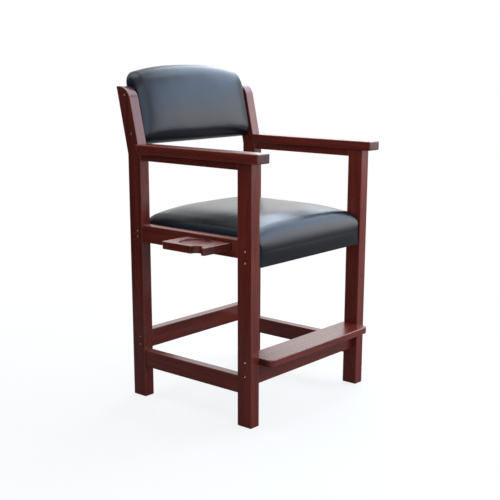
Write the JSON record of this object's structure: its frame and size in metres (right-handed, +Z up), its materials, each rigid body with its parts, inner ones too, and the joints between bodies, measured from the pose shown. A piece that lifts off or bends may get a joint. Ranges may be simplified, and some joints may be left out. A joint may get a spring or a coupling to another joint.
{
  "type": "billiard spectator chair",
  "caption": "Tall wooden armchair with padded seat and back, a footrest and a pull-out side tray with a drink recess and a cue notch.",
  "frame": {"origin": "on the floor, under the middle of the outline as the tray stands pulled out; the chair's own middle plane is at X = 0.0575", "axes": "+Z up, the sitter faces -Y, the sitter's right and the tray are towards -X"},
  "size_m": [0.786, 0.6597, 1.148],
  "materials": {
    "stained_wood": "dark red-brown mahogany stain under a satin lacquer",
    "plywood": "bare plywood, covered by the upholstery",
    "black_vinyl": "black vinyl with a soft sheen and a fine grain",
    "bolt_steel": "bronzed steel"
  },
  "bodies": {
    "frame": {"arm_board_left": "stained_wood", "arm_board_right": "stained_wood", "arm_rail_left": "stained_wood", "arm_rail_right": "stained_wood", "back_board": "plywood", "back_cover": "black_vinyl", "back_cushion": "black_vinyl", "bolt_front_footrest_left": "bolt_steel", "bolt_front_footrest_right": "bolt_steel", "bolt_front_seat_lower_left": "bolt_steel", "bolt_front_seat_lower_right": "bolt_steel", "bolt_front_seat_upper_left": "bolt_steel", "bolt_front_seat_upper_right": "bolt_steel", "bolt_front_stretcher_left": "bolt_steel", "bolt_front_stretcher_right": "bolt_steel", "bolt_rear_back_lower_left": "bolt_steel", "bolt_rear_back_lower_right": "bolt_steel", "bolt_rear_back_upper_left": "bolt_steel", "bolt_rear_back_upper_right": "bolt_steel", "bolt_rear_seat_lower_left": "bolt_steel", "bolt_rear_seat_lower_right": "bolt_steel", "bolt_rear_seat_upper_left": "bolt_steel", "bolt_rear_seat_upper_right": "bolt_steel", "bolt_rear_stretcher_lower_left": "bolt_steel", "bolt_rear_stretcher_lower_right": "bolt_steel", "bolt_rear_stretcher_upper_left": "bolt_steel", "bolt_rear_stretcher_upper_right": "bolt_steel", "footrest_board": "stained_wood", "front_apron": "stained_wood", "front_leg_left": "stained_wood", "front_leg_right": "stained_wood", "front_stretcher": "stained_wood", "rear_apron": "stained_wood", "rear_leg_left": "stained_wood", "rear_leg_right": "stained_wood", "rear_stretcher": "stained_wood", "seat_board": "plywood", "seat_cleat_left": "stained_wood", "seat_cleat_right": "stained_wood", "seat_cushion": "black_vinyl", "side_apron_left": "stained_wood", "side_apron_right": "stained_wood", "side_stretcher_left": "stained_wood", "side_stretcher_right": "stained_wood", "tray_back_stop": "stained_wood", "tray_runner_front": "stained_wood", "tray_runner_rear": "stained_wood"},
    "tray": {"drink_tray": "stained_wood", "tray_cleat": "stained_wood"}
  },
  "joints": [
    {"name": "tray_slide", "type": "slide", "parent": "frame", "child": "tray", "axis": [1, 0, 0], "range_m": [0, 0.128]}
  ]
}
